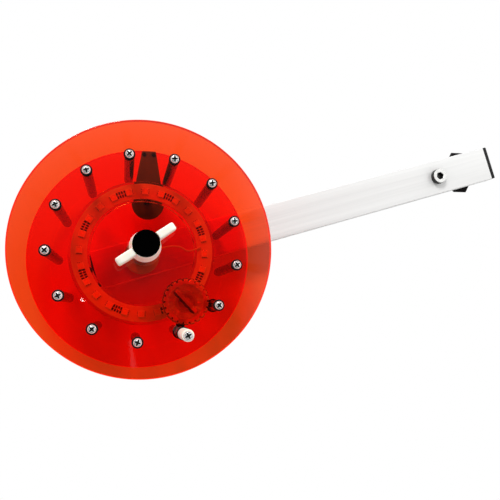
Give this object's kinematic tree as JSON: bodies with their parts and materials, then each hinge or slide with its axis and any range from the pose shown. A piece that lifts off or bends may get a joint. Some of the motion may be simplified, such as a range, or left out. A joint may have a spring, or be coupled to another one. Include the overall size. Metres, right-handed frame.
{
  "type": "hand line reel with lamp",
  "caption": "Hand line reel: red drum with a lamp ring turns on a flat aluminium arm, with a winding peg, a wing-nut drag and a dimmer knob.",
  "frame": {"origin": "the axle's centre line at the level the reel lies on, in the rear foot's face", "axes": "+Z along the axle towards the wing nut, +Y towards the index plate; the arm points 15.4 degrees from +X towards +Y"},
  "size_m": [0.4098, 0.1878, 0.1358],
  "materials": {
    "red_acrylic": "gloss, translucent red",
    "clear_acrylic": "gloss, clear",
    "brushed_aluminium": "extruded, fine lines along its length",
    "polished_aluminium": "turned and polished",
    "zinc_steel": "bright zinc plated",
    "black_nylon": "moulded, satin",
    "black_rubber": "moulded, matt",
    "white_nylon": "moulded, satin, cream white",
    "lamp_board_white": "white solder mask",
    "lead_white": "soft insulation"
  },
  "bodies": {
    "arm": {"arm_tube": "brushed_aluminium", "outer_end_cap": "black_nylon", "inner_end_cap": "black_nylon", "clamp_screw": "zinc_steel", "clamp_nut": "zinc_steel", "cross_pad": "black_rubber", "pad_screw": "zinc_steel", "axle_bolt": "zinc_steel", "rear_foot": "black_rubber", "arm_washer": "zinc_steel"},
    "drum": {"front_disc": "red_acrylic", "back_disc": "red_acrylic", "hub_tube": "brushed_aluminium", "rear_bush": "white_nylon", "front_bush": "white_nylon", "post_01": "polished_aluminium", "post_02": "polished_aluminium", "post_03": "polished_aluminium", "post_04": "polished_aluminium", "post_05": "polished_aluminium", "post_06": "polished_aluminium", "post_07": "polished_aluminium", "post_08": "polished_aluminium", "post_09": "polished_aluminium", "post_10": "polished_aluminium", "post_11": "polished_aluminium", "post_12": "polished_aluminium", "post_13": "polished_aluminium", "front_screw_01": "zinc_steel", "front_screw_02": "zinc_steel", "front_screw_03": "zinc_steel", "front_screw_04": "zinc_steel", "front_screw_05": "zinc_steel", "front_screw_06": "zinc_steel", "front_screw_08": "zinc_steel", "front_screw_09": "zinc_steel", "front_screw_10": "zinc_steel", "front_screw_11": "zinc_steel", "front_screw_12": "zinc_steel", "front_screw_13": "zinc_steel", "peg_screw": "zinc_steel", "lamp_board": "lamp_board_white", "lamp_carrier": "clear_acrylic", "lamp_standoff_1": "black_nylon", "lamp_standoff_2": "black_nylon", "lamp_standoff_3": "black_nylon", "lamp_standoff_4": "black_nylon", "lamp_lead": "lead_white", "dimmer_bracket": "black_nylon", "dimmer_body": "black_nylon", "index_plate": "black_nylon", "index_screw_1": "zinc_steel", "index_screw_2": "zinc_steel"},
    "drag_stack": {"drag_washer": "zinc_steel", "spring_washer": "zinc_steel"},
    "wing": {"wing_nut": "white_nylon", "hub_cap": "black_nylon"},
    "peg": {"peg_sleeve": "white_nylon"},
    "knob": {"dimmer_knob": "clear_acrylic", "dimmer_shaft": "brushed_aluminium"}
  },
  "joints": [
    {"name": "drum_spin", "type": "hinge", "parent": "arm", "child": "drum", "pos_m": [0, 0, 0.066], "axis": [0, 0, 1], "continuous": true},
    {"name": "drag_slide", "type": "slide", "parent": "arm", "child": "drag_stack", "axis": [0, 0, 1], "range_m": [0, 0.0025]},
    {"name": "wing_nut_turn", "type": "hinge", "parent": "drag_stack", "child": "wing", "pos_m": [0, 0, 0.112], "axis": [0, 0, 1], "range_deg": [0, 720]},
    {"name": "dimmer_turn", "type": "hinge", "parent": "drum", "child": "knob", "pos_m": [0.02701, -0.03599, 0.09], "axis": [0, 0, 1], "range_deg": [-150, 150]},
    {"name": "peg_spin", "type": "hinge", "parent": "drum", "child": "peg", "pos_m": [0.02415, -0.05678, 0.12], "axis": [0, 0, 1], "continuous": true}
  ],
  "couplings": [
    {"joint": "wing_nut_turn", "follows": "drag_slide", "rad_per_m": 5026.5}
  ]
}
